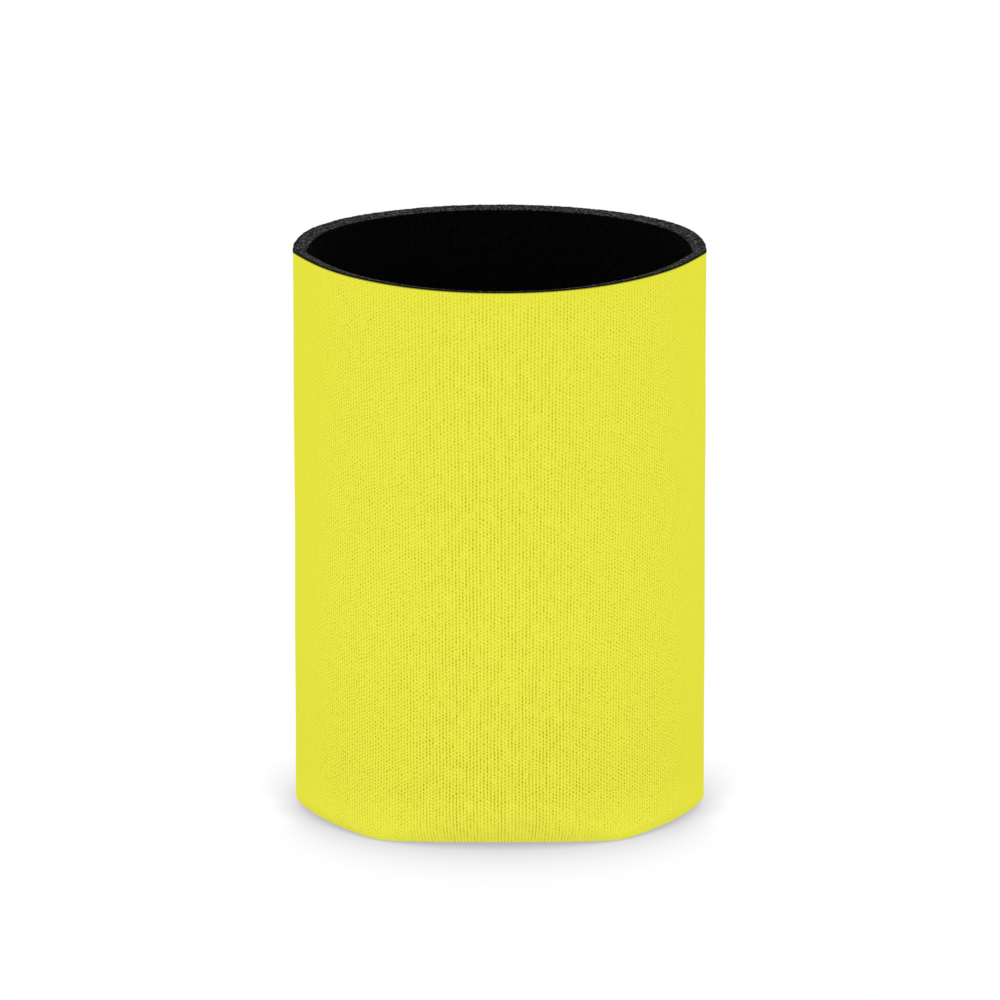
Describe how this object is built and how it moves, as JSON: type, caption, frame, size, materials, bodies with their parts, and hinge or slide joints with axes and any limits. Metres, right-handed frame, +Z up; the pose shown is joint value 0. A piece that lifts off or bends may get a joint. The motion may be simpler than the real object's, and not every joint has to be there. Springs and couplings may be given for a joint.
{
  "type": "can cooler sleeve",
  "caption": "Open-topped round foam sleeve with a knit outer face, a straight wall, a flat folded base and a butted zigzag seam up each side.",
  "frame": {"origin": "middle of the flat base, on the surface that the sleeve stands on", "axes": "+Z up along the sleeve, -Y towards the front face of the picture, +X towards the right seam"},
  "size_m": [0.073, 0.0722, 0.1015],
  "materials": {
    "yellow_knit": "matt polyester jersey with fine upright wales",
    "black_foam": "matt open-cell polyurethane foam, cut edges speckled",
    "yellow_thread": "spun polyester thread, slight sheen"
  },
  "bodies": {
    "root": {"knit_cover": "yellow_knit", "foam_core": "black_foam", "left_seam_thread": "yellow_thread", "right_seam_thread": "yellow_thread"}
  },
  "joints": []
}
